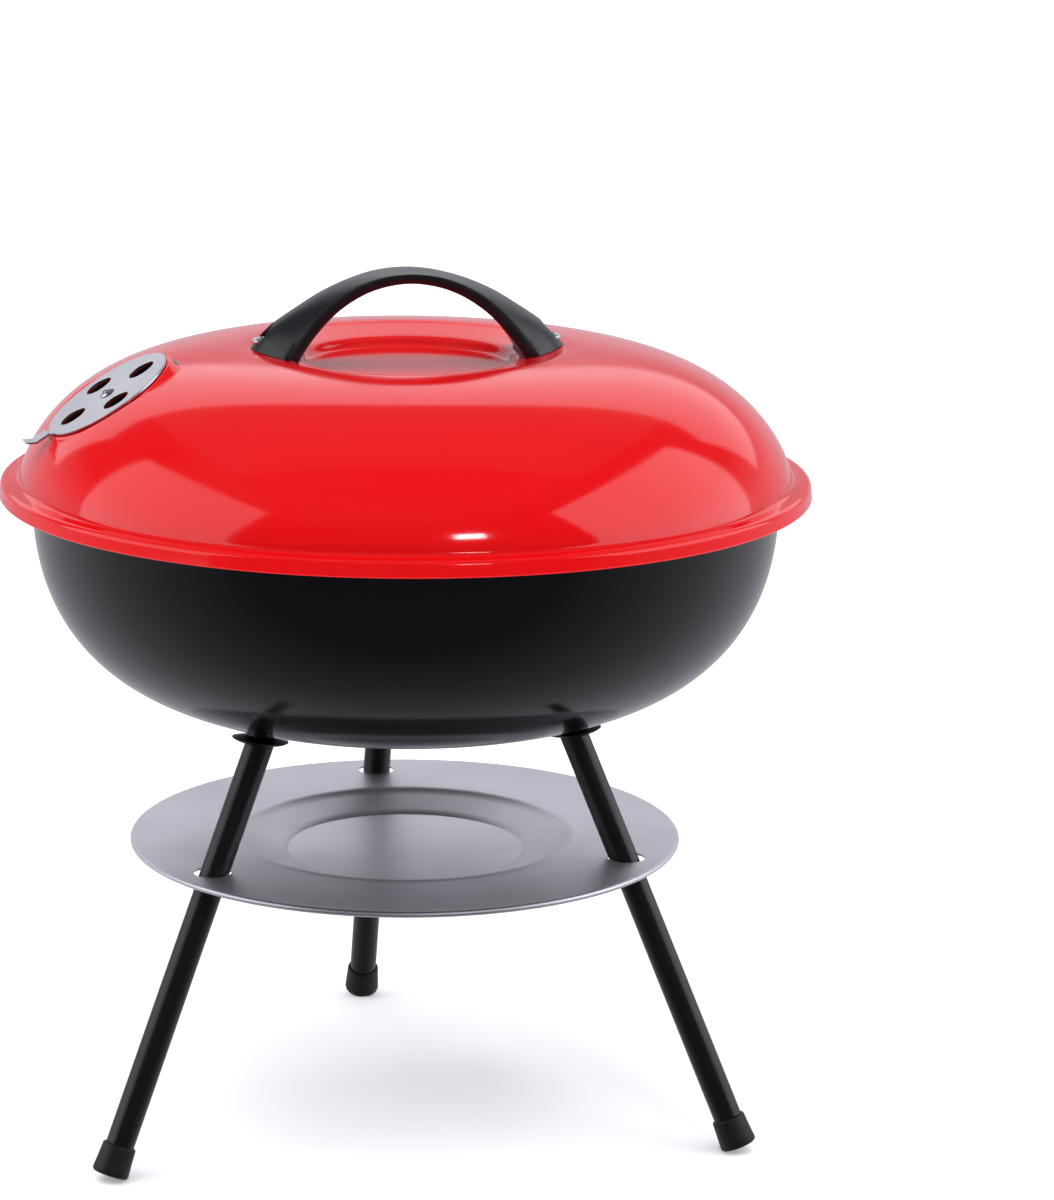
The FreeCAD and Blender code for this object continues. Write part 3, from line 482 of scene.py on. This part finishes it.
def mark_painted_inner_shade(mesh):
    """Notes on each face of the lid whether it is painted black as shade: its inside and its vent
    walls.
    """
    painted_inner_shade = mesh.attributes.new("painted_inner_shade", "FLOAT", "FACE")
    inside_point = Vector((0, 0, 280 * MM))
    for face in mesh.polygons:
        local = to_seat @ face.center
        at_seat = local.xy.length < 30 * MM and abs(local.z) < 9 * MM
        vent_wall = at_seat and abs(face.normal.dot(damper_axis)) < 0.5
        inward = face.normal.dot(face.center - inside_point) < 0
        painted_inner_shade.data[face.index].value = float(inward or vent_wall)


lid_shape = spun(sheet_metal(lid_line, WALL))
press_seat(lid_shape)
lid_skin = finish_piece(bored(lid_shape, lid_holes), "lid_skin", red_enamel, "lid",
                        ["lid_shell"])
mark_painted_inner_shade(lid_skin.data)


# ------------------------------------------------------------------ lid handle
HANDLE_ARCH = [
    # inner face: along X, height, lean of the section in degrees, share of the way out
    (0.0, 384.4, 0.0, 0.0), (12.0, 382.9, 14.0, 0.12), (22.6, 379.0, 27.0, 0.27),
    (32.4, 372.7, 38.0, 0.44), (40.4, 365.0, 48.0, 0.62), (46.8, 357.0, 55.0, 0.82),
    (50.6, 351.0, 59.0, 0.94),
]


def recess_height(radius):
    """Height of the lid under the handle's foot, mm."""
    slope = (edge_z - 0.5 - disc_z - 4.2) / (edge_x - 2.6 - disc_x - 6.0)
    return disc_z + 4.2 + slope * (radius - disc_x - 6.0)


def smooth_rows(rows, steps):
    """Catmull-Rom through rows of numbers."""
    result = []
    for index in range(len(rows) - 1):
        four = [rows[min(max(index + k, 0), len(rows) - 1)] for k in (-1, 0, 1, 2)]
        for part in range(steps):
            t = part / steps
            result.append([0.5 * (2 * b + (c - a) * t + (2 * a - 5 * b + 4 * c - d) * t * t
                                  + (3 * b - a - 3 * c + d) * t ** 3) for a, b, c, d in zip(*four)])
    return result + [list(rows[-1])]


def handle_section(share):
    """Flat inside and straight edges; the outside rises to a soft ridge down the middle."""
    half = 12.0 + 9.0 * share ** 1.3
    crown = 0.5 + 13.0 * share ** 1.6
    thick = 4.5 + 1.9 * share
    points = [Vector((-half + 1.2, 0)), Vector((half - 1.2, 0)), Vector((half - 0.35, 0.35)),
              Vector((half, 1.2)), Vector((half, thick - 0.5)), Vector((half - 0.1, thick - 0.1))]
    for index in range(1, 28):
        y = math.copysign(abs(1 - index / 14) ** 1.25, 14 - index)
        ridge = 1 - (y * y + 0.002) ** 0.8
        points.append(Vector((half * 0.99 * y, thick + crown * ridge)))
    points += [Vector((-half + 0.1, thick - 0.1)), Vector((-half, thick - 0.5)),
               Vector((-half, 1.2)), Vector((-half + 0.35, 0.35))]
    return points


def lid_handle():
    """The arched strap, cut at its feet to lie on the recess, with wells for the screws."""
    rows = smooth_rows([(-x, z, -lean, share) for x, z, lean, share in HANDLE_ARCH[:0:-1]]
                       + HANDLE_ARCH, 8)
    bm = bmesh.new()
    before = None
    for index, (x, z, lean, share) in enumerate(rows):
        out = Vector((math.sin(math.radians(lean)), 0, math.cos(math.radians(lean))))
        down = Vector((math.cos(math.radians(lean)), 0, -math.sin(math.radians(lean))))
        down *= 1 if x > 0 else -1
        loop = []
        for point in handle_section(max(share, 0.0)):
            spot = Vector((x, point.x, z)) + out * point.y
            if index in (0, len(rows) - 1):
                for _ in range(6):
                    want = recess_height(math.hypot(spot.x, spot.y)) + 0.3
                    spot += down * ((want - spot.z) / down.z)
            loop.append(bm.verts.new(spot * MM))
        edges = [bm.edges.new((a, b)) for a, b in zip(loop, loop[1:] + loop[:1])]
        if before:
            bmesh.ops.bridge_loops(bm, edges=before + edges)
        else:
            bmesh.ops.contextual_create(bm, geom=edges)
        before = edges
    bmesh.ops.contextual_create(bm, geom=before)
    bmesh.ops.recalc_face_normals(bm, faces=bm.faces[:])
    wells = [moved(rod(SCREW_WELL, 0, 30, 48), shift(SCREW_REACH * way, 0, SCREW_SEAT))
             for way in (1, -1)]
    strap = bored(bm, wells)
    strap.transform(handle_way)
    return strap


finish_piece(lid_handle(), "lid_handle_strap", handle_nylon, "lid", ["lid_handle"],
             crease=35)


# ------------------------------------------------------------------ small turned parts
def turned_part(nodes, steps=48, step=0.4):
    """Turned solid from an outline that starts and ends on the axis, mm."""
    return spun(outline(nodes, step), steps)


def screw_head():
    """Round-headed machine screw with a cross cut in its head."""
    body = turned_part([(0, -11.5), (1.8, -11.5), (2.3, -11.0), (2.3, 0), (4.3, 0, 0.3, 1),
                        (4.6, 0.3), (4.6, 1.1, 0.6, 1), (4.2, 1.6, 7.6, 1), (0, 2.6)])
    slots = []
    for angle in (0, 90):
        slot = bmesh.new()
        bmesh.ops.create_cube(slot, size=1, matrix=turn(angle, "Z") @ shift(0, 0, 2.8)
                              @ Matrix.Diagonal((5.0 * MM, 1.0 * MM, 2.6 * MM, 1)))
        slots.append(slot)
    return bored(body, slots)


def hex_nut():
    """Six-sided nut with a plain hole."""
    nut = rod(4.6, 0, 3.6, 6)
    round_edges(nut, 0.4)
    return bored(nut, [rod(2.3, -1, 5, 32)])


for side, way in (("left", -1), ("right", 1)):
    screw_place = handle_way @ shift(SCREW_REACH * way, 0, SCREW_SEAT)
    screw = screw_head()
    screw.transform(screw_place @ turn(20 * way, "Z"))
    finish_piece(screw, f"{side}_handle_screw_head", zinc_plate, "lid",
                 [f"{side}_handle_screw"])
    nut = hex_nut()
    nut.transform(screw_place @ shift(0, 0, -NUT_DROP))
    finish_piece(nut, f"{side}_handle_hex_nut", zinc_plate, "lid",
                 [f"{side}_handle_nut"])


# ------------------------------------------------------------------ dampers
def ring_points(x, y, radius, steps=48):
    """Points round a hole, in mm."""
    return [Vector((x + radius * math.cos(FULL_TURN * k / steps),
                    y + radius * math.sin(FULL_TURN * k / steps), 0)) for k in range(steps)]


def damper_plate(radius, pitch, bearings):
    """Stamped disc with holes and a raised tab whose tip is bent up, lying on its underside."""
    bm = bmesh.new()
    half = TAB_WIDTH / 2
    root = math.sqrt(radius ** 2 - half ** 2)
    start = math.asin(half / radius)
    rim = [Vector((radius * math.cos(a), radius * math.sin(a), 0)) for a in
           [start + (FULL_TURN - 2 * start) * k / 96 for k in range(97)]]
    tip = radius + TAB_LENGTH
    lower_side = [(root + 2.2, -half), (tip - 1.0, -half), (tip, -half + 1.0)]
    tab = [Vector((x, y, 0)) for x, y in lower_side]
    tab += [Vector((x, -y, 0)) for x, y in reversed(lower_side)]
    loops = [rim + tab, ring_points(0, 0, SCREW_HOLE)]
    for bearing in bearings:
        a = math.radians(bearing)
        loops.append(ring_points(pitch * math.cos(a), pitch * math.sin(a), VENT))
    for loop in loops:
        verts = [bm.verts.new(point * MM) for point in loop]
        for a, b in zip(verts, verts[1:] + verts[:1]):
            bm.edges.new((a, b))
    bmesh.ops.triangle_fill(bm, use_beauty=True, edges=bm.edges[:])
    for cut in (radius + 0.3, radius + 0.9, radius + 1.5, tip - TAB_TIP, tip - 3.9, tip - 3.3):
        bmesh.ops.bisect_plane(bm, geom=bm.verts[:] + bm.edges[:] + bm.faces[:],
                               plane_co=(cut * MM, 0, 0), plane_no=(1, 0, 0))
    bmesh.ops.dissolve_limit(bm, angle_limit=0.001, verts=bm.verts[:], edges=[
        e for e in bm.edges if max(v.co.x for v in e.verts) < (radius + 0.2) * MM])
    bmesh.ops.recalc_face_normals(bm, faces=bm.faces[:])
    if bm.faces[0].normal.z > 0:
        bmesh.ops.reverse_faces(bm, faces=bm.faces[:])
    flat = bmesh.ops.extrude_face_region(bm, geom=bm.faces[:])
    top = [v for v in flat["geom"] if isinstance(v, bmesh.types.BMVert)]
    bmesh.ops.translate(bm, vec=(0, 0, DAMPER_SHEET * MM), verts=top)
    bmesh.ops.recalc_face_normals(bm, faces=bm.faces[:])
    edges = [e for e in bm.edges if len(e.link_faces) == 2 and e.calc_face_angle(0) > 1.2
             and abs(e.verts[0].co.z - e.verts[1].co.z) < 1e-6]
    bmesh.ops.bevel(bm, geom=edges, offset=0.18 * MM, segments=1, profile=0.5,
                    affect="EDGES", material=-1, clamp_overlap=True)
    for vert in bm.verts:
        rise = min(max((vert.co.x / MM - radius - 0.3) / 1.2, 0), 1)
        vert.co.z += TAB_STEP * MM * rise * rise * (3 - 2 * rise)
        past = vert.co.x - (tip - TAB_TIP) * MM
        if past > 0:
            vert.co.z += 0.55 * past
            vert.co.x -= 0.1 * past
    return bm


def rivet_body(grip):
    """Hollow blind rivet with its broken pin down in the bore."""
    return turned_part([
        (0, -1.2 - grip), (3.7, -1.2 - grip, 0.3, 1), (3.95, -0.9 - grip), (3.95, -grip),
        (2.35, -grip), (2.35, 0.05), (3.5, 0.05, 0.25, 1), (3.65, 0.25, 3.0, 1), (2.2, 1.15, 0.4, 1),
        (1.75, 1.15), (1.5, 0.7), (1.4, -0.9), (0.8, -0.9), (0.7, -0.2), (0, 0.0)])


def fit_damper(name, place, radius, pitch, bearings, under, rivet_on):
    """Lays a damper plate at its place and rivets it to what is under it."""
    plate = moved(damper_plate(radius, pitch, bearings), place)
    finish_piece(plate, f"{name}_damper_plate", damper_steel, f"{name}_damper_disc",
                 [f"{name}_damper"], crease=30)
    rivet = moved(rivet_body(under + DAMPER_LIFT + DAMPER_SHEET),
                  place @ shift(0, 0, DAMPER_SHEET + RIVET_SINK))
    finish_piece(rivet, f"{name}_damper_rivet_body", zinc_plate, rivet_on,
                 [f"{name}_damper_rivet"])


disc_place = Matrix.Translation((damper_spot - damper_axis * (SEAT_DEPTH - DAMPER_LIFT)) * MM)
disc_place = disc_place @ damper_turn
low_place = shift(0, 0, BOWL_FLOOR - DAMPER_LIFT) @ turn(180, "X")
fit_damper("lid", disc_place, DAMPER_RADIUS, VENT_PITCH, LID_VENTS, 2.65, "lid")
fit_damper("bowl", low_place, BOWL_DAMPER_RADIUS, BOWL_VENT_PITCH,
           [-bearing for bearing in BOWL_VENTS], WALL + 0.1, "base")


# ------------------------------------------------------------------ legs
def mitred_tube(length):
    """Open tube hanging down from the origin, its top cut to lie along the bowl."""
    bm = bmesh.new()
    steps = 48
    loops = []
    for radius in (TUBE, TUBE - TUBE_WALL):
        ring = bmesh.ops.create_circle(bm, segments=steps, radius=radius * MM)["verts"]
        edges = list({e for v in ring for e in v.link_edges})
        loops.append((ring, edges))
    lower = []
    for ring, edges in loops:
        grown = bmesh.ops.extrude_edge_only(bm, edges=edges)["geom"]
        verts = [g for g in grown if isinstance(g, bmesh.types.BMVert)]
        bmesh.ops.translate(bm, vec=(0, 0, -length * MM), verts=verts)
        lower.append([g for g in grown if isinstance(g, bmesh.types.BMEdge)
                      and all(v in verts for v in g.verts)])
    slope = math.tan(math.radians(LEG_SPLAY - BOWL_SLOPE))
    for ring, edges in loops:
        for vert in ring:
            vert.co.z = -TUBE_RISE * MM - slope * vert.co.x
    bmesh.ops.bridge_loops(bm, edges=loops[0][1] + loops[1][1])
    bmesh.ops.bridge_loops(bm, edges=lower[0] + lower[1])
    bmesh.ops.recalc_face_normals(bm, faces=bm.faces[:])
    return bm


def collar_dish():
    """Saucer-shaped spacer between the tube and the bowl."""
    return spun(outline([
        (3.3, -COLLAR_HEIGHT), (7.4, -COLLAR_HEIGHT, 9.0, 1), (12.4, -5.6, 0.3, 1),
        (12.6, -5.3, 0.2, 1), (12.4, -5.1), (7.2, -3.8, 0.8, -1), (6.6, -3.1), (6.6, -0.9),
        (5.7, -0.05), (3.3, -0.05)], 0.8), 64, closed=True)


def foot_cap(place):
    """Moulded cup on the end of the leg, worn flat where it stands on the ground."""
    cap = turned_part([
        (0, 0), (6.6, 0, 1.6, 1), (8.2, 1.6), (7.75, 8.0), (7.5, 12.9, 1.1, 1), (6.6, 14.0),
        (6.37, 13.9), (6.37, 3.0), (0, 3.0)], 64, 0.8)
    moved(cap, place)
    ground = bmesh.ops.bisect_plane(cap, geom=cap.verts[:] + cap.edges[:] + cap.faces[:],
                                    plane_co=(0, 0, 0), plane_no=(0, 0, -1), clear_outer=True)
    bmesh.ops.holes_fill(cap, edges=[g for g in ground["geom_cut"]
                                     if isinstance(g, bmesh.types.BMEdge)])
    return cap


def hex_bolt():
    """Shank that runs down into the tube's plug, with a six-sided head inside the bowl."""
    shank = turned_part([(0, -14.9), (2.6, -14.9), (3.0, -14.5), (3.0, 2.7), (0, 2.7)], 32)
    head = rod(5.4, 2.7, 6.3, 6)
    round_edges(head, 0.5)
    return joined([shank, head])


def bolt_washer():
    """Plain washer between the bolt's head and the bowl."""
    return spun(outline([(3.3, 1.45), (7.8, 1.45), (8.0, 1.65), (8.0, 2.45), (7.8, 2.65),
                         (3.3, 2.65)], 2), 48, closed=True)


for side, bearing in LEG_BEARINGS.items():
    around = turn(bearing, "Z")
    spot = around @ Vector((LEG_REACH, 0, LEG_TOP))
    flat = around @ turn(-BOWL_SLOPE, "Y")
    skin = (flat @ UP).normalized()
    lean = around @ turn(-LEG_SPLAY, "Y")
    down = -(lean @ UP).normalized()
    seat = spot - skin * (COLLAR_HEIGHT + 0.05)
    flat_place = Matrix.Translation(spot * MM) @ flat
    tube_place = Matrix.Translation((seat - down * TUBE_RISE) * MM) @ lean
    foot_drop = LEG_LENGTH - TUBE_RISE + FOOT_FLOOR
    foot_place = Matrix.Translation((seat + down * foot_drop) * MM) @ lean
    finish_piece(moved(mitred_tube(LEG_LENGTH), tube_place), f"{side}_leg", leg_coat, "base",
                 [f"{side}_leg_tube"])
    finish_piece(moved(collar_dish(), flat_place), f"{side}_leg_dish", collar_coat, "base",
                 [f"{side}_leg_collar"])
    finish_piece(foot_cap(foot_place), f"{side}_foot", foot_plastic, "base",
                 [f"{side}_foot_cap"], crease=50)
    finish_piece(moved(rod(5.2, -19.9, -6.0, 32), tube_place), f"{side}_tube_plug",
                 foot_plastic, "base", [f"{side}_leg_plug"])
    finish_piece(moved(hex_bolt(), flat_place), f"{side}_bolt", zinc_plate, "base",
                 [f"{side}_leg_bolt"])
    finish_piece(moved(bolt_washer(), flat_place), f"{side}_washer", zinc_plate, "base",
                 [f"{side}_leg_washer"])


# ------------------------------------------------------------------ brackets
def bent_tab(points, width=14.0):
    """Bent strip of sheet, its side outline pulled out to the strip's width."""
    bm = bmesh.new()
    verts = [bm.verts.new((x * MM, -width / 2 * MM, z * MM)) for x, z in points]
    face = bm.faces.new(verts)
    grown = bmesh.ops.extrude_face_region(bm, geom=[face])["geom"]
    bmesh.ops.translate(bm, vec=(0, width * MM, 0),
                        verts=[g for g in grown if isinstance(g, bmesh.types.BMVert)])
    bmesh.ops.recalc_face_normals(bm, faces=bm.faces[:])
    round_edges(bm, 0.35, 2)
    return bm


UPPER_SHELF, UPPER_WALL = 277.2, 165.0
LOWER_SHELF, LOWER_WALL = 213.7, 130.4
for side, bearing in LEG_BEARINGS.items():
    upper = [(UPPER_WALL - 9, UPPER_SHELF - 1.6), (UPPER_WALL - 1.9, UPPER_SHELF - 1.6),
             (UPPER_WALL - 2.5, UPPER_SHELF - 7), (UPPER_WALL - 0.9, UPPER_SHELF - 7),
             (UPPER_WALL - 0.1, UPPER_SHELF), (UPPER_WALL - 9, UPPER_SHELF)]
    lower = [(LOWER_WALL - 18, LOWER_SHELF - 1.6), (LOWER_WALL, LOWER_SHELF - 1.6),
             (LOWER_WALL + 6.9, LOWER_SHELF + 3.8), (LOWER_WALL + 5.8, LOWER_SHELF + 5),
             (LOWER_WALL - 0.6, LOWER_SHELF), (LOWER_WALL - 18, LOWER_SHELF)]
    for level, points in (("upper", upper), ("lower", lower)):
        tab = moved(bent_tab(points), turn(bearing + BRACKET_TURN, "Z"))
        finish_piece(tab, f"{side}_{level}_tab", black_enamel, "base",
                     [f"{side}_{level}_bracket"])

# ------------------------------------------------------------------ ash tray
tray_under = TRAY_HEIGHT - TRAY_SHEET
tray_low = tray_under - TRAY_DROP
tray_line = outline([
    (0, tray_low), (53.0, tray_low, 2.4, 1), (55.0, tray_low + 0.7),
    (73.0, tray_under - 1.1, 6.0, -1), (78.5, tray_under), (TRAY_RADIUS - 1.2, tray_under)], 1.2)
tray_outer, tray_inner = doubled(tray_line, TRAY_SHEET)
hem = rolled_edge(Vector((TRAY_RADIUS, TRAY_HEIGHT - 1.2)), TRAY_HEM, -190, 300, 14)
leg_ways = []
for bearing in LEG_BEARINGS.values():
    leg_ways.append(moved(rod(TRAY_HOLE, 100, 160, 64),
                          turn(bearing, "Z") @ shift(TRAY_HOLE_REACH, 0, 0)))
tray_mesh = bored(spun(tray_outer + hem + tray_inner[::-1], 256), leg_ways)
finish_piece(tray_mesh, "ash_tray_sheet", tray_metal, "base", ["ash_tray"])


# ------------------------------------------------------------------ grates
def wire_rod(start, end, radius, steps=16):
    """Straight wire with rounded ends between two points, mm."""
    start, end = Vector(start), Vector(end)
    length = (end - start).length
    bm = rod(radius, 0, length, steps)
    round_edges(bm, radius * 0.6, 3, 60)
    along = (end - start).to_track_quat("Z", "Y").to_matrix().to_4x4()
    return moved(bm, Matrix.Translation(start * MM) @ along)


def wire_grate(name, radius, height, hoop, wire, pitch, count, angle, material):
    """Hoop, parallel rods on it and one rod across underneath."""
    circle = [Vector((radius + hoop * math.cos(FULL_TURN * k / 20),
                      height + hoop * math.sin(FULL_TURN * k / 20))) for k in range(20)]
    parts = [spun(circle, 160, closed=True)]
    level = height + hoop + wire - 0.4
    for index in range(-count, count + 1):
        x = pitch * index
        reach = math.sqrt(radius ** 2 - x ** 2) + 1.2
        parts.append(wire_rod((x, -reach, level), (x, reach, level), wire))
    across = level - wire * 2 + 0.3
    parts.append(wire_rod((-radius, 0, across), (radius, 0, across), wire))
    whole = moved(joined(parts), turn(angle, "Z"))
    return finish_piece(whole, f"{name}_wires", material, name, [name])


wire_grate("cooking_grate", 161.0, 280.0, 2.5, 1.6, 20.0, 7, -32, bright_wire)
wire_grate("charcoal_grate", 121.0, 216.5, 2.5, 2.0, 25.0, 4, 20, coal_wire)

# ------------------------------------------------------------------ stage
scene = bpy.context.scene
floor = bpy.data.objects.new("floor", bpy.data.meshes.new("floor"))
bm = bmesh.new()
bmesh.ops.create_grid(bm, x_segments=1, y_segments=1, size=20)
bm.to_mesh(floor.data)
bm.free()
floor.location = (0, 0, -0.0002)
# the sweep below the object stays out of its gloss; the world stands in for it there
floor.visible_glossy = False
scene.collection.objects.link(floor)
# white acrylic table lit a little from below, so that the shadows stay pale
paper, tree, shader, place = new_material("lit_white_acrylic_floor")
shader.inputs["Emission Color"].default_value = (1, 1, 1, 1)
shader.inputs["Emission Strength"].default_value = 0.28
fibre = add_node(tree, "ShaderNodeTexNoise", {"Vector": place, "Scale": 3.0})
vary(tree, shader, fibre.outputs["Fac"], ("#F6F6F7", "#F4F4F5"), (0.9, 0.95))
floor.data.materials.append(paper)

world = bpy.data.worlds.new("studio")
world.use_nodes = True
tree = world.node_tree
# dim room above; below the level of the table it brightens from front to back
way = add_node(tree, "ShaderNodeTexCoord").outputs["Generated"]
parts = add_node(tree, "ShaderNodeSeparateXYZ", {0: way})
table = add_node(tree, "ShaderNodeMapRange", {
    "Value": parts.outputs["Y"], "From Min": -0.7, "From Max": 0.5, "To Min": 0.09, "To Max": 0.66})
room = add_node(tree, "ShaderNodeMapRange", {
    "Value": parts.outputs["Z"], "From Min": 0.1, "From Max": 0.42,
    "To Min": table.outputs[0], "To Max": 0.11})
background = tree.nodes["Background"]
background.inputs["Color"].default_value = (0.91, 0.91, 1.0, 1)
tree.links.new(room.outputs[0], background.inputs["Strength"])
scene.world = world


def hang(lamp, spot, aim):
    made = bpy.data.objects.new(lamp.name, lamp)
    made.location = spot
    made.rotation_mode = "QUATERNION"
    made.rotation_quaternion = (Vector(aim) - Vector(spot)).to_track_quat("-Z", "Y")
    scene.collection.objects.link(made)
    return made


def panel(name, spot, aim, width, height, brightness):
    """Diffusing panel whose face is as bright as a number of times white paper."""
    lamp = bpy.data.lights.new(name, "AREA")
    lamp.shape, lamp.size, lamp.size_y = "RECTANGLE", width, height
    lamp.energy = brightness * math.pi * width * height
    lamp.color = (0.93, 0.94, 1.0)
    return hang(lamp, spot, aim)


# even skylight for the floor and the paint, kept out of the gloss
sky = bpy.data.lights.new("skylight", "SUN")
sky.energy = 2.9
sky.angle = math.radians(80)
hang(sky, (-0.3, -0.5, 3), (0, 0, 0)).visible_glossy = False
panel("back_panel", (0, 3.4, 2.3), (0, 0, 2.3), 7.0, 2.0, 0.95)
panel("top_panel", (0, 1.3, 2.8), (0, 1.2, 0), 3.6, 3.2, 0.12)
panel("left_panel", (-2.3, -0.4, 1.3), (0, 0, 0.6), 2.6, 2.2, 1.35)
panel("right_panel", (2.3, -0.1, 1.4), (0, 0, 0.6), 3.0, 2.2, 1.6)
panel("key_lamp", (0.75, -2.2, 1.55), (0, 0, 0.3), 0.36, 0.2, 30)

camera = bpy.data.objects.new("camera", bpy.data.cameras.new("camera"))
camera.data.lens = 126.8
camera.data.sensor_width = 36
camera.data.clip_end = 60
eye = Vector((-2.1, -1854.4, 672.4)) * MM
target = Vector((54.4, 0, 239.3)) * MM
camera.location = eye
camera.rotation_mode = "QUATERNION"
camera.rotation_quaternion = (target - eye).to_track_quat("-Z", "Y")
roll = Matrix.Rotation(0.011, 4, "Z").to_quaternion()
camera.rotation_quaternion = camera.rotation_quaternion @ roll
scene.collection.objects.link(camera)
scene.camera = camera
scene.view_settings.view_transform = "Standard"
